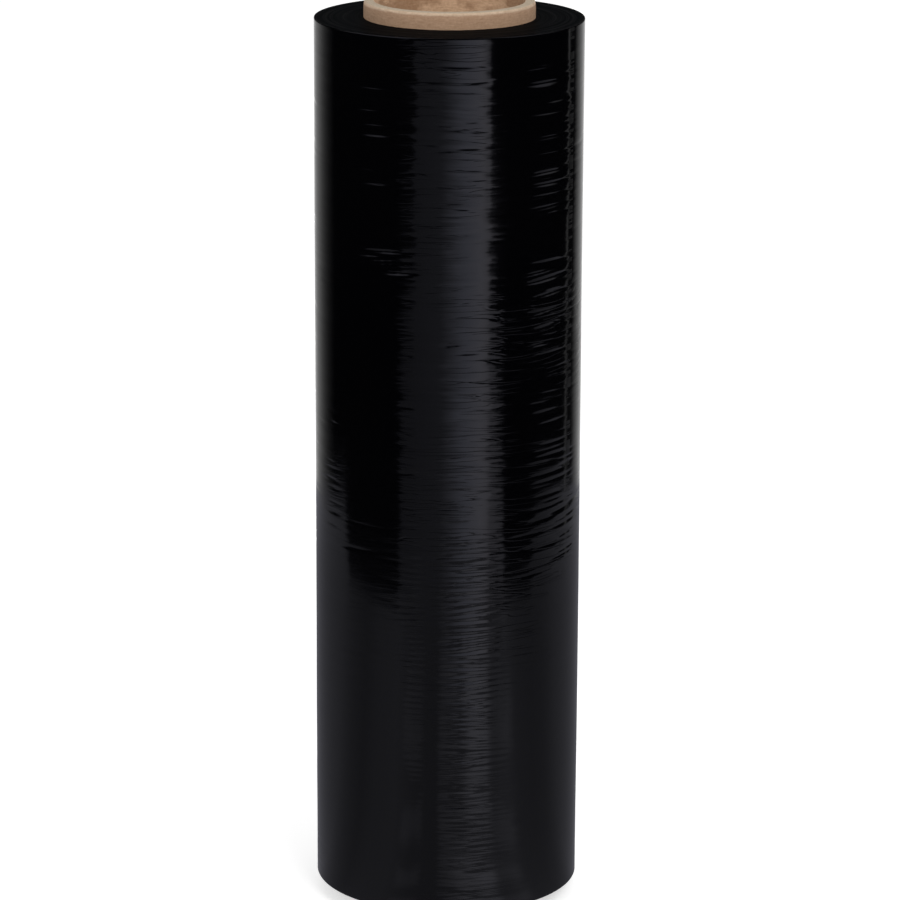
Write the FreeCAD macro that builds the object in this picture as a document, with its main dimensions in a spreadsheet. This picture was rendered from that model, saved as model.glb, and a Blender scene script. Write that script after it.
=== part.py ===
"""A roll of stretch wrap film on a paper core, standing on its end.

The core is one spiral-wound paperboard tube, longer than the film is wide, so it stands out at both ends.
The film is wound tight on it: its turns show as a fine spiral on each end, its outermost turn ends in a
straight edge along the roll, and its surface has shallow gathers that run round the roll.

Sizes are in millimetres. Z runs up the roll's axis, and the origin is the middle of the core's foot.
"""

import FreeCAD, Part
import math
import os

import Sketcher

doc = FreeCAD.newDocument("stretch_wrap_roll")

# Driving dimensions, one row each: alias, value, what it is.
SIZES = [
    ("film_width", 457.2, "width of the film, which is the height of the wound part"),
    ("film_outer_dia", 138.0, "diameter over the film at its outermost edge"),
    ("core_bore_dia", 76.2, "diameter of the hole through the core"),
    ("core_wall", 5.5, "thickness of the core's board"),
    ("core_overhang", 8.5, "how far the core stands out of the film at each end"),
    ("core_lip_bevel", 1.1, "bevel on the core's outer end corners"),
    ("core_bore_break", 0.4, "bevel at the mouths of the bore"),
    ("seam_pitch", 160.0, "climb of the inner ply's seam in one turn"),
    ("seam_gap", 0.9, "height of the gap at the inner ply's seam"),
    ("seam_depth", 0.3, "thickness of the inner ply, which the seam is deep"),
    ("film_edge_bevel", 0.5, "bevel on the film's outer corners"),
    ("tail_step", 0.2, "height of the step at the film's free edge"),
    ("tail_bearing", 55.0, "degrees from X to the film's free edge"),
    ("turn_marks", 4, "turns of the spiral that shows on each end of the film"),
    ("turn_mark_width", 0.9, "width of that spiral's groove"),
    ("turn_mark_depth", 0.3, "depth of that spiral's groove"),
    ("turn_mark_margin", 1.4, "bare ring inside and outside the spiral"),
    ("gather_count", 26, "number of gathers in the outermost turn"),
    ("gather_width", 3.0, "width of a gather at its middle"),
    ("gather_depth", 0.2, "depth of a gather at its middle"),
    ("gather_reach_min", 11.0, "degrees from the middle to the end of the shortest gather"),
    ("gather_reach_max", 33.0, "degrees from the middle to the end of the longest gather"),
    ("gather_lean", 2.5, "greatest slope of a gather, in degrees"),
    ("gather_edge_gap", 9.0, "distance from the film's edges to the nearest gather"),
]

sheet = doc.addObject("Spreadsheet::Sheet", "Sizes")
for row, (alias, value, note) in enumerate(SIZES, start=1):
    sheet.set(f"A{row}", note)
    sheet.set(f"B{row}", str(value))
    sheet.setAlias(f"B{row}", alias)
doc.recompute()

FILM_RADIUS = "Sizes.film_outer_dia / 2"
CORE_RADIUS = "(Sizes.core_bore_dia / 2 + Sizes.core_wall)"
CORE_LENGTH = "(Sizes.film_width + 2 * Sizes.core_overhang)"
ROUND = 1e-6  # how near two lengths are to count as the same


def size(alias):
    """The value of one driving dimension."""
    return float(sheet.get(alias))


def new_sketch(body, name, plane, height=None):
    """A sketch on one of the body's own origin planes, lifted along its normal by an expression."""
    sketch = body.newObject("Sketcher::SketchObject", name)
    base = next(f for f in body.Origin.OriginFeatures if f.Role == plane)
    sketch.AttachmentSupport = [(base, "")]
    sketch.MapMode = "FlatFace"
    if height:
        sketch.setExpression("AttachmentOffset.Base.z", height)
    return sketch


def value_of(expression):
    """What an expression on the sheet's cells comes to."""
    return float(sheet.evalExpression(expression))


def constrain(sketch, name, expression, *what):
    """Adds one named dimension to the sketch and ties it to the sheet."""
    index = sketch.addConstraint(Sketcher.Constraint(*what, value_of(expression)))
    sketch.renameConstraint(index, name)
    sketch.setExpression(f"Constraints.{name}", expression)


def add_circle(sketch, name, radius):
    """A circle about the roll's axis."""
    up = FreeCAD.Vector(0, 0, 1)
    circle = sketch.addGeometry(Part.Circle(FreeCAD.Vector(0, 0, 0), up, value_of(radius)))
    sketch.addConstraint(Sketcher.Constraint("Coincident", circle, 3, -1, 1))
    constrain(sketch, name, radius, "Radius", circle)
    return circle


def add_outline(sketch, corners):
    """A closed outline of straight lines through the corners, in order."""
    ends = [FreeCAD.Vector(across, up, 0) for across, up in corners]
    for start, stop in zip(ends, ends[1:] + ends[:1]):
        sketch.addGeometry(Part.LineSegment(start, stop))
    for line in range(len(ends)):
        sketch.addConstraint(Sketcher.Constraint("Coincident", line, 2, (line + 1) % len(ends), 1))


def rim_edges(feature, radius):
    """Names of the feature's round edges that lie flat and have this radius."""
    found = []
    for number, edge in enumerate(feature.Shape.Edges, start=1):
        flat = edge.BoundBox.ZLength < ROUND
        if flat and hasattr(edge.Curve, "Radius") and abs(edge.Curve.Radius - radius) < ROUND:
            found.append(f"Edge{number}")
    return found


def bevel(body, name, feature, radius, width):
    """Bevels the feature's flat round edges of one radius."""
    cut = body.newObject("PartDesign::Chamfer", name)
    cut.Base = (feature, rim_edges(feature, radius))
    cut.setExpression("Size", width)
    doc.recompute()
    return cut


def make_core():
    """The spiral-wound paper tube, with bevelled end corners and the inner ply's seam up its bore."""
    core = doc.addObject("PartDesign::Body", "paper_core")
    core.Label = "paper_core"

    ring = new_sketch(core, "core_ring", "XY_Plane")
    add_circle(ring, "outside", CORE_RADIUS)
    add_circle(ring, "bore", "Sizes.core_bore_dia / 2")
    tube = core.newObject("PartDesign::Pad", "core_tube")
    tube.Profile = ring
    tube.setExpression("Length", CORE_LENGTH)
    doc.recompute()

    bore = size("core_bore_dia") / 2
    lips = bevel(core, "core_lips", tube, bore + size("core_wall"), "Sizes.core_lip_bevel")
    bevel(core, "core_mouths", lips, bore, "Sizes.core_bore_break")

    gap = new_sketch(core, "seam_section", "XZ_Plane")
    add_seam_section(gap)
    seam = core.newObject("PartDesign::SubtractiveHelix", "inner_ply_seam")
    seam.Profile = gap
    seam.ReferenceAxis = (gap, ["V_Axis"])
    seam.Mode = "pitch-height-angle"
    seam.setExpression("Pitch", "Sizes.seam_pitch")
    seam.setExpression("Height", f"{CORE_LENGTH} + 4 * Sizes.seam_gap")
    doc.recompute()
    return core


def add_seam_section(sketch):
    """The seam's small rectangle below the core's foot, which reaches from the bore into the board."""
    bore = size("core_bore_dia") / 2
    depth = size("seam_depth")
    gap = size("seam_gap")
    foot = -3 * gap
    inside = bore - depth
    floor = bore + depth
    add_outline(sketch, [(inside, foot), (floor, foot), (floor, foot + gap), (inside, foot + gap)])
    for line, way in enumerate(("Horizontal", "Vertical", "Horizontal", "Vertical")):
        sketch.addConstraint(Sketcher.Constraint(way, line))
    constrain(sketch, "floor", "Sizes.core_bore_dia / 2 + Sizes.seam_depth", "DistanceX", -1, 1, 0, 2)
    constrain(sketch, "reach", "2 * Sizes.seam_depth", "DistanceX", 0, 1, 0, 2)
    constrain(sketch, "gap", "Sizes.seam_gap", "DistanceY", 1, 1, 1, 2)
    constrain(sketch, "start", "3 * Sizes.seam_gap", "DistanceY", 0, 1, -1, 1)


def add_half_section(sketch, outside):
    """Half of the film's upright section, from its axis outward, with both outer corners bevelled."""
    low = size("core_overhang")
    high = low + size("film_width")
    far = value_of(outside)
    edge = size("film_edge_bevel")
    foot = [(0, low), (far - edge, low), (far, low + edge)]
    top = [(far, high - edge), (far - edge, high), (0, high)]
    add_outline(sketch, foot + top)
    for line, way in ((0, "Horizontal"), (2, "Vertical"), (4, "Horizontal"), (5, "Vertical")):
        sketch.addConstraint(Sketcher.Constraint(way, line))
    constrain(sketch, "foot", "Sizes.core_overhang", "DistanceY", -1, 1, 0, 1)
    constrain(sketch, "width", "Sizes.film_width", "DistanceY", 0, 1, 4, 2)
    constrain(sketch, "outside", outside, "DistanceX", 0, 1, 2, 1)
    constrain(sketch, "foot_bevel_in", "Sizes.film_edge_bevel", "DistanceX", 1, 1, 1, 2)
    constrain(sketch, "foot_bevel_up", "Sizes.film_edge_bevel", "DistanceY", 1, 1, 1, 2)
    constrain(sketch, "top_bevel_in", "Sizes.film_edge_bevel", "DistanceX", 3, 2, 3, 1)
    constrain(sketch, "top_bevel_up", "Sizes.film_edge_bevel", "DistanceY", 3, 1, 3, 2)


def add_half_turn(body, name, outside, axis_shift, backwards):
    """Half of the outermost turn: the section swung half way round an axis that may lie off the roll's."""
    section = new_sketch(body, f"{name}_section", "XZ_Plane")
    section.setExpression("AttachmentOffset.Base.x", axis_shift)
    add_half_section(section, outside)
    section.addConstraint(Sketcher.Constraint("PointOnObject", 0, 1, -2))
    half = body.newObject("PartDesign::Revolution", name)
    half.Profile = section
    half.ReferenceAxis = (section, ["V_Axis"])
    half.Angle = 180
    half.Reversed = backwards
    doc.recompute()
    return half


def add_turn_marks(body, name, end, way):
    """The spiral of the film's turns, cut as a fine V in one end: way is 1 at the top, -1 at the foot."""
    first = size("core_bore_dia") / 2 + size("core_wall") + size("turn_mark_margin")
    spread = size("turn_mark_width")
    depth = size("turn_mark_depth")
    face = value_of(end)
    section = new_sketch(body, f"{name}_section", "XZ_Plane")
    mouth = face + way * depth
    add_outline(section, [(first, face - way * depth), (first + spread, mouth), (first - spread, mouth)])
    section.addConstraint(Sketcher.Constraint("Horizontal", 1))
    inner = f"{CORE_RADIUS} + Sizes.turn_mark_margin"
    tip = f"{end} - {way} * Sizes.turn_mark_depth"
    constrain(section, "radius", inner, "DistanceX", -1, 1, 0, 1)
    constrain(section, "tip", tip, "DistanceY", -1, 1, 0, 1)
    constrain(section, "rise", "2 * Sizes.turn_mark_depth", *rise_of(way))
    constrain(section, "outward", "Sizes.turn_mark_width", "DistanceX", 0, 1, 0, 2)
    constrain(section, "inward", "Sizes.turn_mark_width", "DistanceX", 2, 1, 2, 2)
    doc.recompute()

    marks = body.newObject("PartDesign::SubtractiveHelix", name)
    marks.Profile = section
    marks.ReferenceAxis = (section, ["V_Axis"])
    marks.Mode = "height-turns-growth"
    marks.LeftHanded = True
    marks.Height = 0
    marks.setExpression("Turns", "Sizes.turn_marks")
    span = f"{FILM_RADIUS} - Sizes.tail_step - {CORE_RADIUS} - 2 * Sizes.turn_mark_margin"
    marks.setExpression("Growth", f"({span}) / Sizes.turn_marks")
    doc.recompute()


def rise_of(way):
    """The ends of the V's slanting line, lower one first."""
    return ("DistanceY", 0, 1, 0, 2) if way > 0 else ("DistanceY", 0, 2, 0, 1)


def make_wound_film():
    """The wound film with plain sides: its outline, bevelled outer corners and the spiral on both ends."""
    film = doc.addObject("PartDesign::Body", "wound_film")

    add_half_turn(film, "first_half_turn", FILM_RADIUS, "0mm", False)
    smaller = f"{FILM_RADIUS} - Sizes.tail_step / 2"
    add_half_turn(film, "last_half_turn", smaller, "-Sizes.tail_step / 2 * 1mm", True)

    bore = new_sketch(film, "film_bore", "XY_Plane")
    add_circle(bore, "bore", CORE_RADIUS)
    winding = film.newObject("PartDesign::Pocket", "film_winding")
    winding.Profile = bore
    winding.Type = "ThroughAll"
    winding.Reversed = True
    doc.recompute()

    add_turn_marks(film, "foot_turns", "Sizes.core_overhang", -1)
    add_turn_marks(film, "top_turns", "(Sizes.core_overhang + Sizes.film_width)", 1)
    film.setExpression("Placement.Rotation.Angle", "Sizes.tail_bearing * 1deg")
    return film


def make_gather(number):
    """One gather: a thin ring, set off the roll's axis, which dips into the film at one side and fades out.

    Its bearing, height, reach and lean are spread by irrational steps, so that no two gathers line up.
    """
    golden = (math.sqrt(5) - 1) / 2
    spread = (number * golden) % 1
    slack = (number * math.sqrt(2)) % 1
    tilt = (number * math.sqrt(3)) % 1

    reach = f"(Sizes.gather_reach_min + {slack:.4f} * (Sizes.gather_reach_max - Sizes.gather_reach_min))"
    clear = "(Sizes.gather_reach_max + 4)"
    past_tail = f"({clear} + {spread:.4f} * (360 - 2 * {clear}))"
    dip = f"(Sizes.gather_depth / (1 - cos({reach} * 1deg)))"
    ring = "(Sizes.gather_width ^ 2 / (8 * Sizes.gather_depth))"
    sunk = f"({past_tail} < 180 ? 0 : Sizes.tail_step * (1 + cos({past_tail} * 1deg)) / 2)"
    spacing = "(Sizes.film_width - 2 * Sizes.gather_edge_gap) / (Sizes.gather_count - 1)"
    height = f"Sizes.core_overhang + Sizes.gather_edge_gap + {number} * {spacing}"
    bearing = f"({past_tail} + Sizes.tail_bearing) * 1deg"

    section = doc.addObject("Part::Circle", f"gather_{number:02d}_section")
    section.setExpression("Radius", ring)
    section.Placement.Rotation = FreeCAD.Rotation(FreeCAD.Vector(1, 0, 0), 90)
    reached = f"{FILM_RADIUS} - {sunk} - Sizes.gather_depth + {ring} + {dip}"
    section.setExpression("Placement.Base.x", reached)
    gather = doc.addObject("Part::Revolution", f"gather_{number:02d}")
    gather.Source = section
    gather.Axis = FreeCAD.Vector(0, 0, 1)
    gather.Angle = 360
    gather.Solid = True
    facing = math.radians(value_of(past_tail) + size("tail_bearing"))
    lean = size("gather_lean") * (2 * tilt - 1)
    outward = FreeCAD.Vector(math.cos(facing), math.sin(facing), 0)
    seam_away = FreeCAD.Rotation(FreeCAD.Vector(0, 0, 1), math.degrees(facing) + 180)
    turned = FreeCAD.Rotation(outward, lean) * seam_away
    gather.Placement = FreeCAD.Placement(FreeCAD.Vector(0, 0, 0), turned)
    gather.setExpression("Placement.Base.x", f"-{dip} * cos({bearing})")
    gather.setExpression("Placement.Base.y", f"-{dip} * sin({bearing})")
    gather.setExpression("Placement.Base.z", height)
    return gather


def make_film_roll():
    """The wound film with its gathers."""
    film = make_wound_film()
    gathers = doc.addObject("Part::Compound", "gathers")
    gathers.Links = [make_gather(number) for number in range(int(size("gather_count")))]
    roll = doc.addObject("Part::Cut", "film_roll")
    roll.Label = "film_roll"
    roll.Base = film
    roll.Tool = gathers
    return roll


def check_document():
    """Stops the build if any object of the document failed."""
    for item in doc.Objects:
        if "Invalid" in item.State or "Error" in item.State:
            raise RuntimeError(f"{item.Name} failed: {item.State}")


def write_parts(pieces):
    """Writes each piece's solid to a file named after it."""
    os.makedirs("parts", exist_ok=True)
    for piece in pieces:
        shape = piece.Shape
        if shape.isNull() or not shape.isValid() or len(shape.Solids) != 1:
            raise RuntimeError(f"{piece.Label} is not one valid solid")
        shape.exportStep(f"parts/{piece.Label}.step")
        print(f"{piece.Label}: {shape.Volume / 1000:.1f} cubic centimetres, {len(shape.Faces)} faces")


pieces = [make_core(), make_film_roll()]
doc.recompute()
check_document()
write_parts(pieces)
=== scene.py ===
"""A roll of black stretch film on its paper core, standing on end on a pale studio floor."""

import math
import random

import bpy
import numpy as np
from mathutils import Matrix, Vector, noise


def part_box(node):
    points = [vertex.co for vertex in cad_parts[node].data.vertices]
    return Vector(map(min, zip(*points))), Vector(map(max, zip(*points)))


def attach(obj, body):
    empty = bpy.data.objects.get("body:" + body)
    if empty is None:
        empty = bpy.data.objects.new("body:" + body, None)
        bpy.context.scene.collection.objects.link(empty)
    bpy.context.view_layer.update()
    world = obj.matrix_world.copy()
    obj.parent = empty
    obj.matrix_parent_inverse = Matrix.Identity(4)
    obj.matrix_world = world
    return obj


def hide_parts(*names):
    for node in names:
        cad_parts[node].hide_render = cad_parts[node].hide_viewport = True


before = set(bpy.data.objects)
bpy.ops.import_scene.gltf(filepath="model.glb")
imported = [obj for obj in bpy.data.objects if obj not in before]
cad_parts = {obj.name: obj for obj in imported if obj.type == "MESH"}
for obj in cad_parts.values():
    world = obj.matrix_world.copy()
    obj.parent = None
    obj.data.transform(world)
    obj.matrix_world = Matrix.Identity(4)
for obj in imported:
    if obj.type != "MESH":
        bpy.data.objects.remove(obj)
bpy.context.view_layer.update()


# The wound film: some 450 m of thin black polyethylene, wound tight and cold on the core, so its turns
# cling together into one smooth, glossy drum. It leaves the winder a little uneven: the outermost turns
# carry fine wrinkles that run round the roll, and both ends show the edges of the turns as faint rings.

film_low, film_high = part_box("film_roll")
film_foot = film_low.z
film_top = film_high.z
film_radius = -film_low.x
core_radius = 0.0436
film_columns = 100
end_rings = 25
row_cuts = (29, 29)
edge_round = 0.0005
edge_middle = edge_round * 0.3
tolerance = 1e-6


def ring_out(radius, height):
    """Extrudes the selected ring of edges, and puts the new ring at a radius and a height."""
    bpy.ops.mesh.extrude_region_move()
    mesh = bpy.context.object.data
    bpy.context.object.update_from_editmode()
    now = next(v.co for v in mesh.vertices if v.select)
    scale = radius / math.hypot(now.x, now.y)
    bpy.ops.transform.resize(value=(scale, scale, 1), center_override=(0, 0, 0))
    bpy.ops.transform.translate(value=(0, 0, height - now.z))


def start_ring(name, columns, radius, height):
    """A bare ring at its height about the axis, left in edit mode and selected."""
    bpy.ops.object.select_all(action="DESELECT")
    bpy.ops.mesh.primitive_circle_add(vertices=columns, radius=radius, location=(0, 0, height))
    piece = bpy.context.object
    piece.name = name
    bpy.ops.object.transform_apply(location=True, rotation=True, scale=True)
    bpy.ops.object.mode_set(mode="EDIT")
    bpy.ops.mesh.select_all(action="SELECT")
    return piece


def close_ring(piece):
    """Joins a lathed piece's last ring to its first, turns its faces outwards and leaves edit mode."""
    bpy.ops.mesh.select_all(action="SELECT")
    bpy.ops.mesh.remove_doubles(threshold=1e-5)
    bpy.ops.mesh.normals_make_consistent(inside=False)
    bpy.ops.object.mode_set(mode="OBJECT")
    bpy.ops.object.shade_smooth()


film = start_ring("stretch_film", film_columns, core_radius, film_foot)
end_edge = film_radius - edge_round
end_width = end_edge - core_radius
for ring in range(1, end_rings + 1):
    ring_out(core_radius + end_width * ring / end_rings, film_foot)
ring_out(film_radius - edge_middle, film_foot + edge_middle)
ring_out(film_radius, film_foot + edge_round)
ring_out(film_radius, film_top - edge_round)
ring_out(film_radius - edge_middle, film_top - edge_middle)
for ring in range(end_rings, -1, -1):
    ring_out(core_radius + end_width * ring / end_rings, film_top)
ring_out(core_radius, film_foot)
close_ring(film)

# The side is one tall band so far: its upright edges are cut into rows, in two goes.
shortest_upright = 0.005
same_radius = 1e-5
for cuts in row_cuts:
    bpy.ops.object.mode_set(mode="EDIT")
    bpy.ops.mesh.select_mode(type="EDGE")
    bpy.ops.mesh.select_all(action="DESELECT")
    bpy.ops.object.mode_set(mode="OBJECT")
    for edge in film.data.edges:
        low_end, high_end = (film.data.vertices[i].co for i in edge.vertices)
        upright = abs(low_end.z - high_end.z) > shortest_upright
        edge.select = upright and abs(math.hypot(low_end.x, low_end.y) - film_radius) < same_radius
    bpy.ops.object.mode_set(mode="EDIT")
    bpy.ops.mesh.subdivide(number_cuts=cuts)
    bpy.ops.object.mode_set(mode="OBJECT")


def points_of(piece):
    """The points of a piece, with their radius and bearing about the axis and their height."""
    spots = np.zeros(len(piece.data.vertices) * 3)
    piece.data.vertices.foreach_get("co", spots)
    spots = spots.reshape(-1, 3)
    radii = np.hypot(spots[:, 0], spots[:, 1])
    bearings = np.arctan2(spots[:, 1], spots[:, 0])
    return radii, bearings, spots[:, 2].copy()


def move_points(piece, radii, bearings, heights):
    """Puts the points of a piece at these radii, bearings and heights."""
    spots = np.column_stack((radii * np.cos(bearings), radii * np.sin(bearings), heights))
    piece.data.vertices.foreach_set("co", spots.ravel())
    piece.data.update()


def rough_field(bearing, height, around, along, seed):
    """Smooth noise on the drum, with lumps of about these sizes round it and along it, in metres."""
    x = film_radius * math.cos(bearing) / around
    y = film_radius * math.sin(bearing) / around
    return noise.noise(Vector((x, y, height / along + seed)))


# Its relief: every point of the side moves in or out by the film's sag, its bands and its wrinkles. The
# wrinkles come and go in patches, and they all but fade out on a calm strip behind and on a smooth one
# high up in front. Bearings are turned from X here, so the front is at -90 degrees.
sag_height = 0.00022
band_height = 0.00005
coarse_height = 0.000022
fine_height = 0.000012
calm_bearing = math.radians(-138)
calm_width = math.radians(26)
smooth_bearing = math.radians(-67)
smooth_width = math.radians(7)
smooth_from = 0.325

# Ripples are even waves in patches. For each patch: the degrees to the right of the front and the height
# of its middle, its half width in degrees, its half height, and its strength.
ripple_length = 0.0034
ripple_height = 0.00006
ripple_lean = 0.05
ripple_patches = [
    (8, 0.110, 15, 0.120, 1.0),
    (5, 0.300, 10, 0.110, 0.4),
    (-13, 0.140, 6, 0.060, 0.6),
    (150, 0.200, 30, 0.110, 0.9),
    (-120, 0.330, 24, 0.090, 0.7),
]

radii, bearings, heights = points_of(film)
side = radii > film_radius - edge_round * 0.5
ends = ~side & (radii < end_edge + tolerance) & (radii > core_radius + 0.0003)
relief = np.zeros(len(radii))
for i in np.nonzero(side)[0]:
    bearing = bearings[i]
    height = heights[i]
    sag = rough_field(bearing, height, around=0.05, along=0.13, seed=3.1)
    bands = rough_field(bearing, height, around=0.04, along=0.022, seed=11.7)

    swayed = height + 0.009 * rough_field(bearing, height, around=0.03, along=0.07, seed=5.3)
    patch = max(0.0, 0.25 + 1.3 * rough_field(bearing, height, around=0.04, along=0.06, seed=23.9))
    patch *= 1 - 0.8 * math.exp(-(((bearing - calm_bearing) / calm_width) ** 2))
    if height > smooth_from:
        patch *= 1 - 0.85 * math.exp(-(((bearing - smooth_bearing) / smooth_width) ** 4))
    coarse = rough_field(bearing, swayed, around=0.024, along=0.0042, seed=41.2)
    fine = rough_field(bearing, swayed, around=0.015, along=0.0024, seed=57.6)
    wrinkles = patch * (coarse_height * coarse + fine_height * fine)

    rippled = 0.0
    for patch_bearing, patch_height, half_width, half_height, strength in ripple_patches:
        aside = (math.degrees(bearing) + 90 - patch_bearing + 180) % 360 - 180
        above = height - patch_height
        rippled += strength * math.exp(-(aside / half_width) ** 4 - (above / half_height) ** 4)
    waves = (height - ripple_lean * film_radius * math.sin(bearing + math.pi / 2)) / ripple_length
    waves += 0.9 * rough_field(bearing, height, around=0.05, along=0.012, seed=71.3)
    swell = 0.75 + 0.6 * rough_field(bearing, height, around=0.03, along=0.010, seed=83.9)
    ripple = ripple_height * rippled * max(0.0, swell) * math.sin(2 * math.pi * waves)

    relief[i] = ripple + sag_height * sag + band_height * bands + wrinkles

# The gathers are longer and sharper than the wrinkles: narrow troughs that dip in and fade out. They
# crowd where the film was pulled unevenly. For each crowd: how many, where it is in degrees to the right
# of the front and in metres up the roll, and its gathers' reach to either side in degrees, steepness,
# and rise for each metre to the right.
gather_half_widths = (0.0006, 0.0011)
crowds = [
    (190, (-180, 180), (0.190, 0.450), (4, 14), (0.03, 0.09), (-0.06, 0.06)),
    (60, (70, 290), (0.006, 0.190), (4, 14), (0.03, 0.10), (-0.06, 0.06)),
    (120, (-3, 16), (0.004, 0.240), (5, 10), (0.05, 0.13), (0.02, 0.08)),
    (220, (-3, 15), (0.335, 0.452), (2, 7), (0.04, 0.12), (-0.02, 0.08)),
    (190, (-3, 18), (0.225, 0.335), (2, 8), (0.04, 0.11), (-0.02, 0.08)),
    (36, (-15, 2), (0.325, 0.455), (2, 9), (0.06, 0.14), (-0.06, 0.08)),
    (14, (-13, 2), (0.235, 0.325), (4, 10), (0.05, 0.13), (-0.04, 0.08)),
    (40, (36, 66), (0.235, 0.300), (8, 18), (0.07, 0.20), (-0.04, 0.05)),
    (30, (36, 66), (0.192, 0.235), (8, 18), (0.07, 0.20), (0.01, 0.09)),
    (52, (40, 56), (0.300, 0.380), (12, 24), (0.20, 0.32), (0.00, 0.08)),
    (52, (42, 56), (0.380, 0.450), (12, 24), (0.20, 0.32), (-0.02, 0.05)),
    (70, (66, 84), (0.150, 0.440), (4, 9), (0.02, 0.06), (0.02, 0.10)),
    (1, (42, 43), (0.1878, 0.1880), (17, 18), (0.12, 0.12), (0.10, 0.10)),
    (1, (43, 44), (0.1906, 0.1908), (14, 15), (0.12, 0.12), (0.10, 0.10)),
    (7, (-36, -22), (0.345, 0.361), (14, 22), (0.32, 0.42), (0.05, 0.09)),
    (8, (-42, -24), (0.385, 0.440), (12, 18), (0.28, 0.38), (-0.03, 0.05)),
    (14, (-64, -54), (0.200, 0.270), (3, 6), (0.08, 0.18), (-0.16, -0.04)),
    (150, (100, 200), (0.020, 0.300), (5, 14), (0.06, 0.20), (-0.04, 0.12)),
    (110, (-150, -85), (0.180, 0.440), (5, 14), (0.06, 0.24), (-0.12, 0.04)),
]
random.seed(18)
for count, bearing_span, height_span, reaches, steepness, leans in crowds:
    for gather in range(count):
        middle = math.radians(random.uniform(*bearing_span) - 90)
        height = random.uniform(*height_span)
        reach = math.radians(random.uniform(*reaches))
        half_width = random.uniform(*gather_half_widths)
        depth = half_width * random.uniform(*steepness)
        lean = random.uniform(*leans) * film_radius
        turn = (bearings - middle + math.pi) % (2 * math.pi) - math.pi
        offset = (heights - height - lean * turn) / half_width
        near = side & (np.abs(turn) < reach) & (np.abs(offset) < 3)
        fade = np.cos(turn[near] / reach * math.pi / 2) ** 2
        relief[near] -= depth * fade * np.exp(-offset[near] ** 2)
relief[side] -= relief[side].max()

# The outermost turn ends in a free edge at the back. The film lies 0.2 mm lower just before the edge,
# and rises to it over half a turn. Two columns of points, which stand at 54 and 57.6 degrees, close up
# on the edge, so that its step is crisp.
tail_bearing = math.radians(55)
tail_step = 0.0002
tail_columns = np.radians((36, 54, 57.6, 75.6))
tail_places = np.radians((36, 54.93, 55.07, 75.6))
past_tail = (bearings - tail_bearing) % (2 * math.pi)
before = side & (past_tail > math.pi)
relief[before] -= tail_step * (1 + np.cos(past_tail[before])) / 2
drawn = (bearings > tail_columns[0] - 0.001) & (bearings < tail_columns[3] + 0.001)
bearings[drawn] = np.interp(bearings[drawn], tail_columns, tail_places)

# The turns end a little higher or lower, one after another, so each end has rings, which wind inwards.
winding = 0.0023
broad_ring = 0.0016
sharp_ring = 0.0007
ring_depth = 0.00012
dent_depth = 0.00008
for i in np.nonzero(ends)[0]:
    spiral = radii[i] - winding * past_tail[i] / (2 * math.pi)
    broad = noise.noise(Vector((spiral / broad_ring, 0.5, 3.0)))
    sharp = noise.noise(Vector((spiral / sharp_ring, 7.5, 1.0)))
    dip = ring_depth * (broad + 0.5 * sharp - 1.2)
    dip += dent_depth * rough_field(bearings[i], radii[i], around=0.03, along=0.01, seed=2.2)
    dip = min(dip, 0.0)
    heights[i] += dip if heights[i] > film_top / 2 else -dip
move_points(film, radii + relief, bearings, heights)

# Film on the side: black all through and glossy, with a fine crinkle and creases that run round it.


def new_material(name):
    """A material of this name, with its nodes and its links."""
    material = bpy.data.materials.new(name)
    material.use_nodes = True
    return material, material.node_tree.nodes, material.node_tree.links


def step(operation, first, second=0):
    """One step of arithmetic on two sources, or on a source and a number."""
    sum_node = nodes.new("ShaderNodeMath")
    sum_node.operation = operation
    for socket, source in zip(sum_node.inputs, (first, second)):
        if isinstance(source, (int, float)):
            socket.default_value = source
        else:
            links.new(source, socket)
    return sum_node.outputs[0]


def product(*factors):
    """Several sources multiplied together."""
    result = factors[0]
    for factor in factors[1:]:
        result = step("MULTIPLY", result, factor)
    return result


def vectors(operation, first, second):
    """One step of vector arithmetic on two sources, or on a source and a fixed vector or number."""
    sum_node = nodes.new("ShaderNodeVectorMath")
    sum_node.operation = operation
    sockets = (sum_node.inputs[0], sum_node.inputs["Scale" if operation == "SCALE" else 1])
    for socket, source in zip(sockets, (first, second)):
        if isinstance(source, (int, float, tuple)):
            socket.default_value = source
        else:
            links.new(source, socket)
    return sum_node.outputs["Vector"]


def parts_of(where):
    """How far a place is to the right, to the back and up."""
    split = nodes.new("ShaderNodeSeparateXYZ")
    links.new(where, split.inputs[0])
    return tuple(split.outputs)


def ease(source, low, high, start, end):
    """Turns a source's values from low to high into start to end, smoothly, and holds them beyond."""
    span = nodes.new("ShaderNodeMapRange")
    span.interpolation_type = "SMOOTHSTEP"
    for socket, value in (("From Min", low), ("From Max", high), ("To Min", start), ("To Max", end)):
        span.inputs[socket].default_value = value
    links.new(source, span.inputs["Value"])
    return span.outputs["Result"]


def grain(where, scale, detail, roughness=0.5):
    """Noise over a place, with this many lumps a metre along X, Y and Z."""
    stretch = nodes.new("ShaderNodeMapping")
    stretch.inputs["Scale"].default_value = scale
    lumps = nodes.new("ShaderNodeTexNoise")
    lumps.inputs["Scale"].default_value = 1
    lumps.inputs["Detail"].default_value = detail
    lumps.inputs["Roughness"].default_value = roughness
    links.new(where, stretch.inputs["Vector"])
    links.new(stretch.outputs["Vector"], lumps.inputs["Vector"])
    return lumps.outputs["Fac"]


def raise_surface(height, distance, normal=None):
    """Bump of the current shader, this many metres high where the height is 1."""
    bump = nodes.new("ShaderNodeBump")
    if normal:
        links.new(normal, bump.inputs["Normal"])
    bump.inputs["Strength"].default_value = 1
    bump.inputs["Distance"].default_value = distance
    links.new(height, bump.inputs["Height"])
    links.new(bump.outputs["Normal"], shader.inputs["Normal"])


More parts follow.
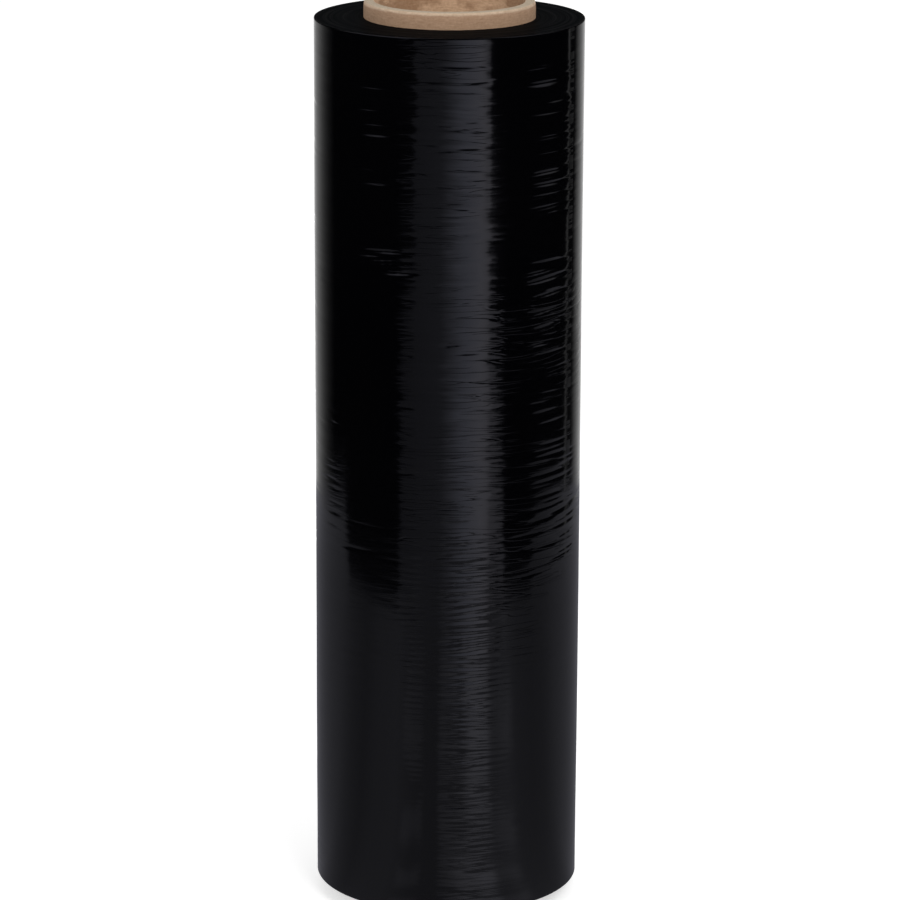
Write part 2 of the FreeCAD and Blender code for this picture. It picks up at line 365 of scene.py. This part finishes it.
gloss, nodes, links = new_material("glossy_black_film")
shader = nodes["Principled BSDF"]
shader.inputs["Base Color"].default_value = (0.0004, 0.0004, 0.0007, 1)
shader.inputs["IOR"].default_value = 1.5
place = nodes.new("ShaderNodeTexCoord").outputs["Object"]
right, back, up = parts_of(place)

# All that runs round the roll climbs and falls a few millimetres on its way.
drift = step("MULTIPLY", grain(place, (12, 12, 12), 1), 0.010)
climb = nodes.new("ShaderNodeCombineXYZ")
links.new(drift, climb.inputs["Z"])
leaned = vectors("ADD", place, climb.outputs[0])

# The creases are thin lines, long and short. They come in patches, mostly in front and above the foot.
long_middle = step("ABSOLUTE", step("SUBTRACT", grain(leaned, (11, 11, 150), 1), 0.5))
short_middle = step("ABSOLUTE", step("SUBTRACT", grain(leaned, (26, 26, 330), 1), 0.5))
long_creases = ease(long_middle, 0, 0.022, 0, 0.9)
short_creases = ease(short_middle, 0, 0.036, 0, 0.8)
creased_patches = ease(grain(place, (17, 17, 17), 2), 0.42, 0.62, 0.1, 1)
creased_front = ease(right, -0.034, -0.012, 0.2, 1)
creased_height = ease(up, 0.10, 0.24, 0.25, 1)
creased = product(creased_patches, creased_front, creased_height)
creases = step("MULTIPLY", step("ADD", long_creases, short_creases), creased)
crinkle = step("MULTIPLY", grain(leaned, (30, 30, 620), 2), ease(up, 0.16, 0.22, 0.2, 0.4))

# High up on the right the film lies flatter.
flatter = product(ease(right, 0.015, 0.020, 0, 0.85), ease(up, 0.325, 0.345, 0, 1))
tucks = step("MULTIPLY", step("ADD", creases, crinkle), step("SUBTRACT", 1, flatter))

# Each strip of the outer turn lies turned a degree or two to one side, which frays upright reflections.
normal = nodes.new("ShaderNodeNewGeometry").outputs["Normal"]
sideways = vectors("CROSS_PRODUCT", (0, 0, 1), normal)
loose_front = ease(step("ABSOLUTE", right), 0.035, 0.058, 0.24, 0.03)
loose_patches = ease(grain(place, (13, 13, 13), 1), 0.4, 0.6, 0.3, 1)
loose = product(loose_front, loose_patches, ease(right, 0.005, 0.020, 1, 0.5))
swing = step("MULTIPLY", step("SUBTRACT", grain(leaned, (16, 16, 420), 2), 0.5), loose)
swung = vectors("NORMALIZE", vectors("ADD", normal, vectors("SCALE", sideways, swing)), (0, 0, 0))
raise_surface(tucks, 0.00005, swung)

# The gloss is a little hazy in patches, and a narrow strip on the right is nicked with duller spots.
haze = ease(grain(place, (9, 9, 9), 2), 0.3, 0.7, 0.08, 0.13)
nicked_strip = product(ease(right, 0.0600, 0.0606, 0, 1), ease(right, 0.0620, 0.0628, 1, 0))
nicked = product(nicked_strip, ease(back, -0.025, 0, 1, 0), ease(up, 0.20, 0.26, 0, 1))
nicks = product(ease(grain(leaned, (20, 20, 460), 2), 0.46, 0.54, 0, 0.3), nicked)
links.new(step("ADD", haze, nicks), shader.inputs["Roughness"])
film.data.materials.append(gloss)

# Film at the ends: the cut edges of thousands of turns lie side by side, dull and finely ringed.
satin, nodes, links = new_material("edges_of_black_film")
shader = nodes["Principled BSDF"]
shader.inputs["Specular IOR Level"].default_value = 0.006
place = nodes.new("ShaderNodeTexCoord").outputs["Object"]


def distance_from_axis(where):
    """How far a place is from the roll's axis, in metres."""
    flat = nodes.new("ShaderNodeVectorMath")
    flat.operation = "MULTIPLY"
    flat.inputs[1].default_value = (1, 1, 0)
    length = nodes.new("ShaderNodeVectorMath")
    length.operation = "LENGTH"
    links.new(where, flat.inputs[0])
    links.new(flat.outputs[0], length.inputs[0])
    return length.outputs["Value"]


def rings_of(radius, fineness, detail):
    """Noise in rings about the axis, with this many rings a metre."""
    band = nodes.new("ShaderNodeTexNoise")
    band.noise_dimensions = "1D"
    band.inputs["Scale"].default_value = fineness
    band.inputs["Detail"].default_value = detail
    links.new(radius, band.inputs["W"])
    return band.outputs["Fac"]


def colours(amount, stops):
    """The colour that an amount from 0 to 1 picks from a run of (place, colour)."""
    ramp = nodes.new("ShaderNodeValToRGB")
    ramp.color_ramp.elements[0].position = stops[0][0]
    ramp.color_ramp.elements[0].color = (*stops[0][1], 1)
    ramp.color_ramp.elements[1].position = stops[-1][0]
    ramp.color_ramp.elements[1].color = (*stops[-1][1], 1)
    for position, colour in stops[1:-1]:
        ramp.color_ramp.elements.new(position).color = (*colour, 1)
    links.new(amount, ramp.inputs["Fac"])
    return ramp.outputs["Color"]


radius = distance_from_axis(place)
turns_of_film = step("ADD", rings_of(radius, 420, 3), step("MULTIPLY", rings_of(radius, 1900, 2), 0.5))
edge_black = colours(turns_of_film, [
    (0.5, (0.0017, 0.0020, 0.0025)),
    (1.0, (0.0037, 0.0043, 0.0053)),
])
links.new(edge_black, shader.inputs["Base Color"])
links.new(ease(turns_of_film, 0.5, 1.0, 0.42, 0.6), shader.inputs["Roughness"])
raise_surface(turns_of_film, 0.00008)
film.data.materials.append(satin)
near_foot = 0.02
near_top = film_foot + 0.45
for face in film.data.polygons:
    centre = face.center
    at_an_end = centre.z < near_foot or centre.z > near_top
    if at_an_end and math.hypot(centre.x, centre.y) < end_edge:
        face.material_index = 1

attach(film, "root")
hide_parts("film_roll")


# The core: a tube of brown paperboard, wound in a spiral from glued plies and cut to length with a
# knife. The cut ends are paler than the faces and show the plies as fine rings, and their outer corners
# are rounded. The inner ply's edges leave a narrow seam, which climbs the bore in a spiral.

core_low, core_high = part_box("paper_core")
bore_radius = 0.0381
core_columns = 128
lip = 0.0016
mouth = 0.0004
lip_steps = 5
ply_rings = 14
bore_rows = 180
seam_depth = 0.0003
seam_columns = 379
column_turn = 2 * math.pi / core_columns
row_turn = column_turn * seam_columns / bore_rows
bore_top = core_high.z - mouth
bore_foot = core_low.z + mouth

core = start_ring("board_core", core_columns, bore_radius, bore_foot)
cut_inner = bore_radius + mouth
cut_outer = core_radius - lip
for ring in range(ply_rings + 1):
    ring_out(cut_inner + (cut_outer - cut_inner) * ring / ply_rings, core_low.z)
for bend in range(1, lip_steps + 1):
    turn = math.pi / 2 * bend / lip_steps
    ring_out(cut_outer + lip * math.sin(turn), core_low.z + lip * (1 - math.cos(turn)))
for level in (0.0035, 0.0060, film_foot, film_foot + 0.001, film_top - 0.001, film_top):
    ring_out(core_radius, core_low.z + level)
for level in (0.0060, 0.0035):
    ring_out(core_radius, core_high.z - level)
for bend in range(lip_steps, -1, -1):
    turn = math.pi / 2 * bend / lip_steps
    ring_out(cut_outer + lip * math.sin(turn), core_high.z - lip * (1 - math.cos(turn)))
for ring in range(ply_rings - 1, -1, -1):
    ring_out(cut_inner + (cut_outer - cut_inner) * ring / ply_rings, core_high.z)
ring_out(bore_radius, bore_top)

# Down the bore the rings turn as they go, by a whole number of columns in all, so that their columns
# run along the seam and meet the foot's.
row_height = (bore_top - bore_foot) / bore_rows
for row in range(1, bore_rows + 1):
    ring_out(bore_radius, bore_top - row_height * row)
    bpy.ops.transform.rotate(value=row_turn, orient_axis="Z", center_override=(0, 0, 0))
close_ring(core)

# Four columns of points close up on the seam, and the middle two sink into it. The cut ends get the
# small steps of their plies, and the rounded corners their slight bumps.
seam_start = math.radians(90) - 35.5 * column_turn
seam_edge = math.radians(1.06)
seam_floor = math.radians(0.95)
ply_width = 0.0004
ply_step = 0.00012
knock_depth = 0.0002
radii, bearings, heights = points_of(core)
for i in range(len(radii)):
    if radii[i] < bore_radius + same_radius:
        seam = seam_start - row_turn * (bore_top - heights[i]) / row_height
        beside = (bearings[i] - seam + math.pi) % (2 * math.pi) - math.pi
        if abs(beside) < column_turn:
            bearings[i] = seam + math.copysign(seam_floor, beside)
            radii[i] += seam_depth
        elif abs(beside) < 2 * column_turn:
            bearings[i] = seam + math.copysign(seam_edge, beside)
        continue
    from_end = min(heights[i], core_high.z - heights[i])
    inward = 1 if heights[i] < core_high.z / 2 else -1
    if from_end < tolerance and radii[i] < cut_outer + tolerance:
        ply = noise.noise(Vector((radii[i] / ply_width, 2.5, inward)))
        tear = rough_field(bearings[i], radii[i], around=0.006, along=0.002, seed=9.4)
        heights[i] += inward * ply_step * max(0.0, 0.5 + ply + 0.6 * tear)
    elif from_end < lip + tolerance:
        knock = rough_field(bearings[i], heights[i], around=0.012, along=0.002, seed=31.0)
        radii[i] -= knock_depth * max(0.0, 0.3 + knock)
move_points(core, radii, bearings, heights)

# Board: brown kraft paper with its fibres, glue blotches and painted shade in the bore, pale where cut.
board, nodes, links = new_material("kraft_paperboard")
shader = nodes["Principled BSDF"]
shader.inputs["Specular IOR Level"].default_value = 0.25
place = nodes.new("ShaderNodeTexCoord").outputs["Object"]


def blend(amount, first, second):
    """A colour between two sources of colour, by an amount from 0 to 1."""
    mix = nodes.new("ShaderNodeMix")
    mix.data_type = "RGBA"
    links.new(amount, mix.inputs["Factor"])
    links.new(first, mix.inputs[6])
    links.new(second, mix.inputs[7])
    return mix.outputs[2]


radius = distance_from_axis(place)
right, back, up = parts_of(place)
above_foot = step("SUBTRACT", up, core_low.z)
below_top = step("SUBTRACT", core_high.z, up)
to_end = step("MINIMUM", above_foot, below_top)
fibres = grain(place, (260, 260, 1500), 3, 0.6)
specks = grain(place, (900, 900, 900), 2, 0.6)
clouds = grain(place, (70, 70, 110), 3, 0.55)
texture = step("ADD", step("MULTIPLY", fibres, 0.6), step("MULTIPLY", specks, 0.4))
plies = step("ADD", step("MULTIPLY", rings_of(radius, 2600, 2), 0.6), step("MULTIPLY", specks, 0.4))
face_brown = colours(texture, [(0.34, (0.34, 0.210, 0.128)), (0.66, (0.465, 0.305, 0.202))])
bore_light = colours(texture, [(0.36, (0.49, 0.315, 0.195)), (0.64, (0.66, 0.450, 0.295))])
bore_dark = colours(texture, [(0.36, (0.31, 0.180, 0.100)), (0.64, (0.43, 0.270, 0.165))])
cut_pale = colours(plies, [(0.34, (0.365, 0.280, 0.195)), (0.68, (0.54, 0.453, 0.345))])
lip_pale = colours(texture, [(0.34, (0.44, 0.310, 0.212)), (0.66, (0.60, 0.450, 0.325))])

# In the bore the glue has stained the board in blotches.
# Painted light and shade: the bore is painted lighter in front and behind and darker at its sides.
painted_shade_at_bore_sides = ease(step("ABSOLUTE", right), 0.010, 0.024, 0.08, -0.03)
stains_and_painted_shade = ease(step("ADD", clouds, painted_shade_at_bore_sides), 0.42, 0.62, 1, 0)
bore_brown = blend(stains_and_painted_shade, bore_light, bore_dark)

# Each face keeps its own brown up to its corner: the bore, the outside, the paler corners, the cut ends.
in_bore = ease(radius, bore_radius + 0.00025, bore_radius + 0.00045, 1, 0)
# The rounded corners are painted paler, in a band of uneven width.
paler_corner_band = ease(step("SUBTRACT", to_end, step("MULTIPLY", clouds, 0.0012)), 0.0004, 0.0014, 1, 0)
cut = ease(step("SUBTRACT", to_end, step("MULTIPLY", specks, 0.0005)), -0.0001, 0.0003, 1, 0)
outer_brown = blend(paler_corner_band, face_brown, lip_pale)
brown = blend(in_bore, blend(cut, outer_brown, cut_pale), bore_brown)
links.new(brown, shader.inputs["Base Color"])
links.new(ease(texture, 0.3, 0.7, 0.92, 0.78), shader.inputs["Roughness"])
raise_surface(texture, 0.00007)
core.data.materials.append(board)

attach(core, "root")
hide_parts("paper_core")


# The studio: a pale table with a white surround, and two soft lamps. The film is a dark mirror, so its
# look is what stands round it: the table's edge, bright panels behind the camera to the right with dim
# ones beside them, a pale backdrop and a dark room. Only reflections see these.

floor_size = 8
bpy.ops.object.select_all(action="DESELECT")
bpy.ops.mesh.primitive_plane_add(size=floor_size, location=(0, 0, 0))
floor = bpy.context.object
floor.name = "studio_floor"
paper, nodes, links = new_material("pale_floor")
nodes.clear()


def degrees_right(where):
    """The bearing of a place, in degrees to the right of the front."""
    right, back, up = parts_of(where)
    return step("DEGREES", step("ARCTAN2", right, step("MULTIPLY", back, -1)))


def by_bearing(where, levels):
    """A level or a colour that changes with the bearing, from (degrees right of the front, level)."""
    share = step("DIVIDE", step("ADD", degrees_right(where), 180), 360)
    stops = []
    for degrees, level in levels:
        colour = level if isinstance(level, tuple) else (level, level, level)
        stops.append(((degrees + 180) / 360, colour))
    return colours(share, stops)


def mix_shaders(amount, first, second):
    """One shader where an amount is 0 and another where it is 1."""
    mix = nodes.new("ShaderNodeMixShader")
    links.new(amount, mix.inputs[0])
    links.new(first, mix.inputs[1])
    links.new(second, mix.inputs[2])
    return mix.outputs[0]


place = nodes.new("ShaderNodeTexCoord").outputs["Object"]
path = nodes.new("ShaderNodeLightPath")
matte = nodes.new("ShaderNodeBsdfDiffuse")
matte.inputs["Color"].default_value = (0.8, 0.8, 0.8, 1)
glow = nodes.new("ShaderNodeEmission")
glow.inputs["Strength"].default_value = 0.55
seen = nodes.new("ShaderNodeAddShader")
links.new(matte.outputs[0], seen.inputs[0])
links.new(glow.outputs[0], seen.inputs[1])

# In reflections the table is a painted glow, dim, and it ends at its edge, past which the room is seen.
away = distance_from_axis(place)
table_edge = by_bearing(place, [
    (-180, 0.80), (-128, 0.83), (-98, 0.82), (-90, 0.66), (-66, 0.64), (-42, 0.64), (-8, 0.69),
    (4, 0.66), (36, 0.64), (72, 0.64), (79, 0.82), (88, 0.88), (120, 0.86), (180, 0.80),
])
table_light = by_bearing(place, [
    (-180, 0.16), (-127, 0.16), (-99, 0.18), (-84, 0.145), (-71, 0.13), (-58, 0.18), (-40, 0.21),
    (-25, 0.15), (-4, 0.14), (6, 0.15), (16, 0.19), (27, 0.20), (38, 0.20), (49, 0.24), (60, 0.18),
    (73, 0.145), (85, 0.14), (101, 0.17), (127, 0.16), (180, 0.16),
])

# Painted glints of the panels lie on it: uneven bars across the table, closer together near the roll.
glint_light = by_bearing(place, [
    (-36, 0.0), (-33, 0.08), (-20, 0.08), (-17, 0.0), (-7, 0.0), (-5, 0.12), (3, 0.22), (11, 0.42),
    (24, 0.58), (31, 0.50), (36, 0.12), (50, 0.12), (56, 0.0),
])
even_bars = step("MULTIPLY", step("LOGARITHM", step("SUBTRACT", away, film_radius), math.e), 8)
uneven = step("MULTIPLY", grain(place, (9, 9, 9), 2), 9)
bars = step("SINE", step("ADD", even_bars, uneven))
glints = step("MULTIPLY", ease(bars, -0.6, 0.6, 0, 0.95), glint_light)
lit = step("MULTIPLY", step("ADD", table_light, glints), ease(away, 0.62, 0.80, 1, 1.35))
painted_table_glow = nodes.new("ShaderNodeEmission")
painted_table_glow.inputs["Color"].default_value = (0.98, 0.98, 1.12, 1)
links.new(lit, painted_table_glow.inputs["Strength"])
beyond = nodes.new("ShaderNodeBsdfTransparent")
off_table = ease(step("SUBTRACT", away, table_edge), -0.02, 0.02, 0, 1)
table = mix_shaders(off_table, painted_table_glow.outputs[0], beyond.outputs[0])
out = nodes.new("ShaderNodeOutputMaterial")
links.new(mix_shaders(path.outputs["Is Glossy Ray"], seen.outputs[0], table), out.inputs["Surface"])
floor.data.materials.append(paper)

# What a shiny surface sees round the roll, by bearing from the front and by height: the panels in
# front, which narrow in steps towards their top, the backdrop behind, and lights under the ceiling at
# both sides.
world = bpy.data.worlds.new("studio")
bpy.context.scene.world = world
world.use_nodes = True
nodes, links = world.node_tree.nodes, world.node_tree.links
nodes.clear()
direction = nodes.new("ShaderNodeTexCoord").outputs["Generated"]
right, back, up = parts_of(direction)
ray_bearing = degrees_right(direction)
panels = by_bearing(direction, [
    (-52, 0.12), (-34, 0.125), (-25, 0.13), (-6, 0.17), (-3, 0.22), (2, 0.33), (12, 0.60), (28, 0.86),
    (33, 0.80), (37, 0.50), (46, 0.45), (58, 0.30),
])
backdrop = by_bearing(direction, [
    (-180, 1.0), (-157, 0.42), (-147, 0.32), (-134, 0.13), (-126, 0.05), (-116, 0.0),
    (121, 0.0), (122, 0.25), (124, 0.25), (125, 0.0), (135, 0.01), (143, 0.22), (156, 0.5), (180, 1.0),
])
ceiling = by_bearing(direction, [
    (-118, 0.0), (-100, 0.4), (-60, 0.45), (-36, 0.4), (-28, 0.0), (46, 0.0), (58, 0.4), (100, 0.4),
    (118, 0.0),
])
tint = by_bearing(direction, [
    (-120, (1, 1, 1)), (-80, (0.98, 0.97, 1.13)), (-6, (0.97, 0.98, 1.16)), (14, (0.96, 0.99, 1.22)),
    (32, (1.0, 0.98, 1.12)), (80, (0.98, 0.97, 1.13)), (112, (1, 1, 1)),
])
left_edge = step("ADD", ease(up, -0.240, -0.212, -38, -29), ease(up, -0.265, -0.235, -5, 0))
right_edge = step("ADD", ease(up, -0.234, -0.218, 41.4, 34.9), ease(up, -0.275, -0.250, 8, 0))
past_left_edge = ease(step("SUBTRACT", ray_bearing, left_edge), -1.5, 1.5, 0, 1)
before_right_edge = ease(step("SUBTRACT", right_edge, ray_bearing), -1.5, 1.5, 0, 1)
below_top_edge = ease(up, -0.125, -0.04, 1, 0.03)
front = product(panels, past_left_edge, before_right_edge, below_top_edge)
behind = step("MULTIPLY", backdrop, ease(up, 0.04, 0.14, 1, 0.0))
overhead = step("MULTIPLY", ceiling, ease(up, 0.05, 0.20, 0, 1))
shiny = nodes.new("ShaderNodeBackground")
links.new(step("ADD", front, step("ADD", behind, overhead)), shiny.inputs["Strength"])
links.new(tint, shiny.inputs["Color"])

# Dull surfaces see an even white room, and the camera a pure white one.
plain = nodes.new("ShaderNodeBackground")
plain.inputs["Color"].default_value = (1, 1, 1, 1)
plain.inputs["Strength"].default_value = 0.6
white = nodes.new("ShaderNodeBackground")
white.inputs["Color"].default_value = (1, 1, 1, 1)
white.inputs["Strength"].default_value = 1
path = nodes.new("ShaderNodeLightPath")
surround = mix_shaders(path.outputs["Is Glossy Ray"], plain.outputs[0], shiny.outputs[0])
out = nodes.new("ShaderNodeOutputWorld")
links.new(mix_shaders(path.outputs["Is Camera Ray"], surround, white.outputs[0]), out.inputs["Surface"])

# The key lamp stands high on the right in front, and a weaker one fills from the left.
lamp_width = 1.2
aimed_at = Vector((0, 0, 0.35))
for name, spot, power in (("key", (0.9, -1.7, 1.9), 26), ("fill", (-1.6, -1.2, 1.3), 8)):
    lamp = bpy.data.lights.new(name, "AREA")
    lamp.size = lamp_width
    lamp.energy = power
    holder = bpy.data.objects.new(name, lamp)
    holder.location = spot
    holder.rotation_euler = (aimed_at - Vector(spot)).to_track_quat("-Z", "Y").to_euler()
    holder.visible_glossy = False
    holder.visible_camera = False
    bpy.context.scene.collection.objects.link(holder)

# The camera stands 2.06 m in front of the roll, well above it, and looks down at it through a long lens.
camera_distance = 2.0601
camera_height = 0.7919
tilt = math.radians(90 - 15.032)
yaw = math.radians(-0.030)
roll = math.radians(0.230)
eye = bpy.data.cameras.new("camera")
eye.lens = 164.06
eye.sensor_width = 36
eye.clip_end = 50
camera = bpy.data.objects.new("camera", eye)
camera.location = (0, -camera_distance, camera_height)
aim = Matrix.Rotation(yaw, 3, "Z") @ Matrix.Rotation(tilt, 3, "X") @ Matrix.Rotation(roll, 3, "Z")
camera.rotation_euler = aim.to_euler()
bpy.context.scene.collection.objects.link(camera)
bpy.context.scene.camera = camera
bpy.context.scene.view_settings.view_transform = "Standard"
